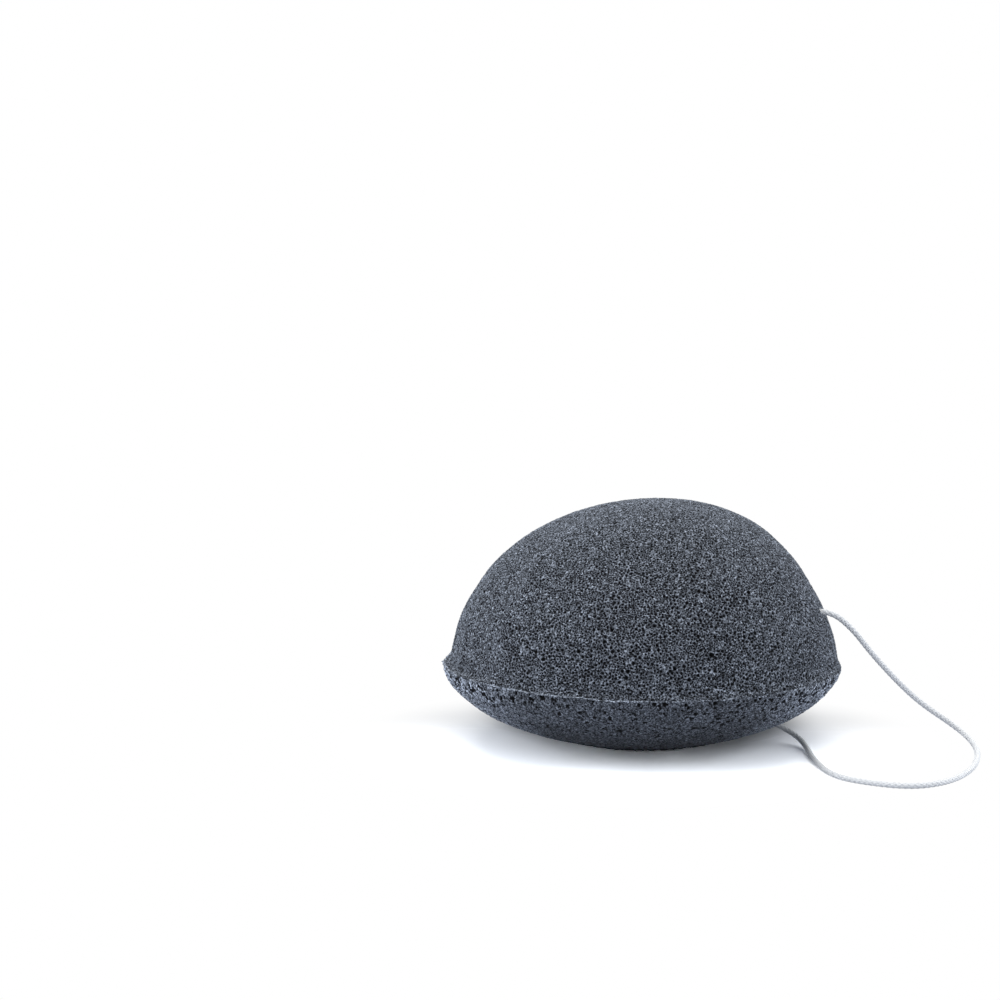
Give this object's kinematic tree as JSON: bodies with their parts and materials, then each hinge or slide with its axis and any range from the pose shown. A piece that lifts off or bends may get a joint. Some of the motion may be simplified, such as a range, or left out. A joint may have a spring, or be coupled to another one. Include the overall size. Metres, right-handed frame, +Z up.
{
  "type": "konjac sponge",
  "caption": "Half-ball charcoal konjac facial sponge with a moulded lip at its rim, a shallow convex underside and a white braided cord loop to hang it by.",
  "frame": {"origin": "middle of the small flat under the sponge, on the surface that it rests on", "axes": "+Z up through the middle of the dome, +X towards the side that the cord leaves, -Y towards the viewer of the picture"},
  "size_m": [0.1073, 0.0835, 0.0495],
  "materials": {
    "charcoal_konjac": "matt open-cell vegetable foam, charcoal grey",
    "white_cord": "matt braided cotton, white"
  },
  "bodies": {
    "root": {"sponge_body": "charcoal_konjac", "hanging_loop": "white_cord", "knot_upper_end": "white_cord", "knot_lower_end": "white_cord"}
  },
  "joints": []
}
